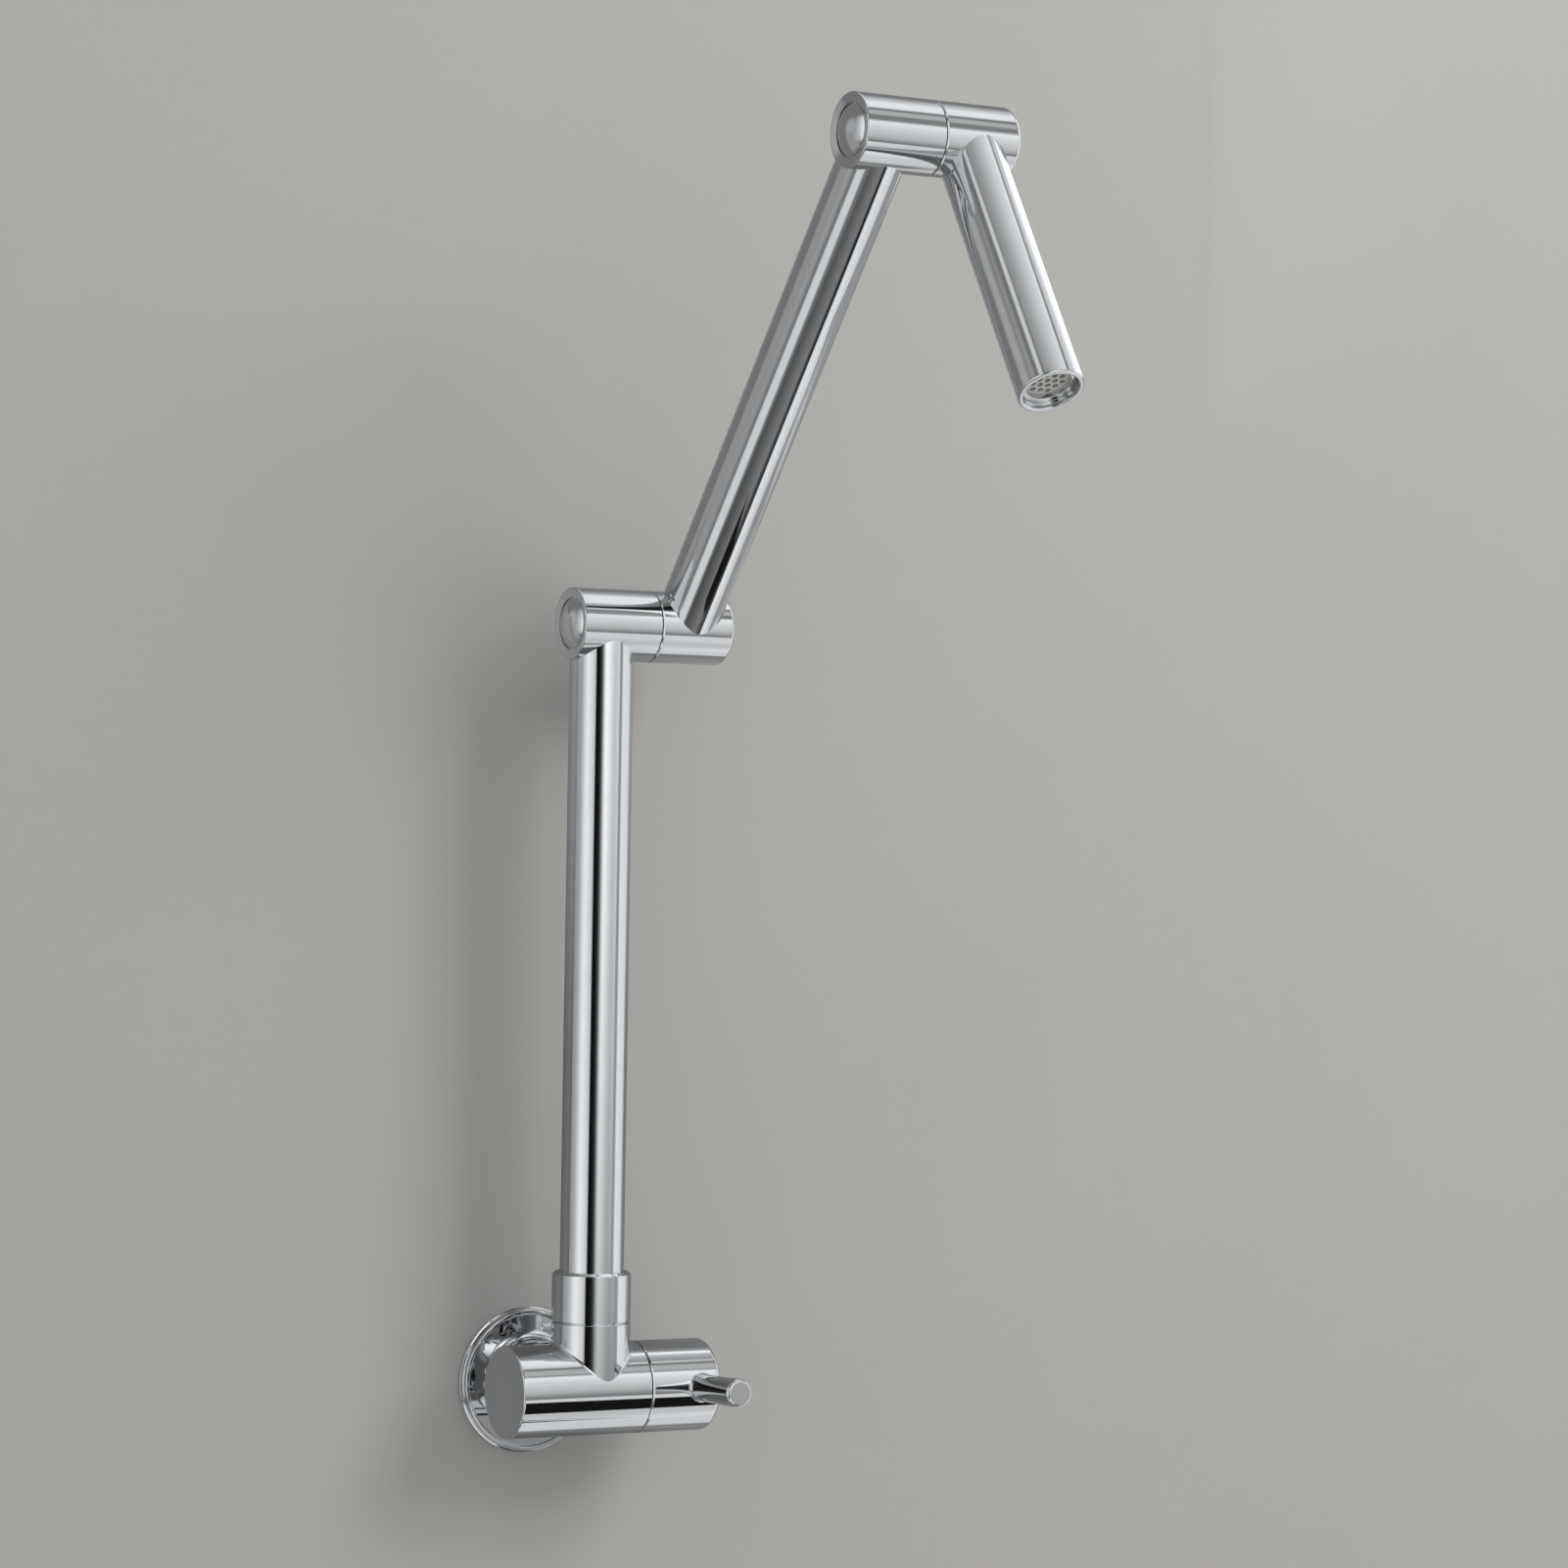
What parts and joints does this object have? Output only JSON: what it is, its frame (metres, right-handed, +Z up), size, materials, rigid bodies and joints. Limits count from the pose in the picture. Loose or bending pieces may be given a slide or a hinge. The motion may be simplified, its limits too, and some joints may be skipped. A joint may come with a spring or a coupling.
{
  "type": "wall-mounted cold water tap",
  "caption": "Wall-mounted chrome tap with a lever valve and a slim swivelling tube spout that folds at an elbow and a wrist joint, ending in a short angled nozzle.",
  "frame": {"origin": "centre of the wall flange's back face, on the axis of the inlet thread", "axes": "+Y along the inlet thread into the wall, +X along the valve's axis towards the handle, +Z up"},
  "size_m": [0.125, 0.2826, 0.5185],
  "materials": {
    "chrome": "bright chrome plate on polished brass",
    "raw_brass": "turned brass, unplated",
    "stainless": "stainless steel, as stamped or turned",
    "ceramic": "lapped white alumina",
    "rubber": "matt black moulded rubber",
    "white_plastic": "moulded white acetal"
  },
  "bodies": {
    "wall_group": {"wall_flange": "chrome", "flange_seal": "rubber", "flange_grip_ring": "rubber", "inlet_nipple": "raw_brass", "inlet_strainer": "stainless", "valve_body": "chrome", "seat_seal": "rubber", "fixed_disc": "ceramic", "cartridge_housing": "raw_brass", "cartridge_o_ring": "rubber", "handle_guide_ring": "white_plastic", "swivel_nut": "chrome", "swivel_thrust_washer": "white_plastic", "swivel_slip_ring": "white_plastic"},
    "handle_group": {"handle": "chrome", "handle_grub_screw": "stainless", "valve_spindle": "raw_brass", "moving_disc": "ceramic", "spindle_o_ring": "rubber", "spindle_clip": "stainless"},
    "lower_arm": {"swivel_spigot": "raw_brass", "swivel_o_rings": "rubber", "lower_tube": "chrome", "elbow_left_housing": "chrome", "elbow_face_ring": "white_plastic", "elbow_thrust_washer": "white_plastic", "elbow_button": "chrome"},
    "upper_arm": {"elbow_right_housing": "chrome", "elbow_spindle": "raw_brass", "elbow_o_rings": "rubber", "elbow_spring_washer": "stainless", "elbow_nut": "raw_brass", "upper_tube": "chrome", "wrist_left_housing": "chrome", "wrist_face_ring": "white_plastic", "wrist_thrust_washer": "white_plastic", "wrist_button": "chrome"},
    "nozzle": {"wrist_right_housing": "chrome", "wrist_spindle": "raw_brass", "wrist_o_rings": "rubber", "wrist_spring_washer": "stainless", "wrist_nut": "raw_brass", "nozzle_tube": "chrome", "aerator_housing": "chrome", "aerator_core": "white_plastic", "aerator_washer": "rubber"}
  },
  "joints": [
    {"name": "handle_turn", "type": "hinge", "parent": "wall_group", "child": "handle_group", "pos_m": [0.045, -0.0394, 0], "axis": [1, 0, 0], "range_deg": [0, 90]},
    {"name": "base_swivel", "type": "hinge", "parent": "wall_group", "child": "lower_arm", "pos_m": [0.008, -0.0414, 0.04], "axis": [0, 0, 1], "range_deg": [-90, 30]},
    {"name": "elbow_fold", "type": "hinge", "parent": "lower_arm", "child": "upper_arm", "pos_m": [0.008, -0.0414, 0.2988], "axis": [1, 0, 0], "range_deg": [-40, 110]},
    {"name": "wrist_fold", "type": "hinge", "parent": "upper_arm", "child": "nozzle", "pos_m": [0.0441, -0.19063, 0.47539], "axis": [1, 0, 0], "range_deg": [-105, 70]}
  ]
}
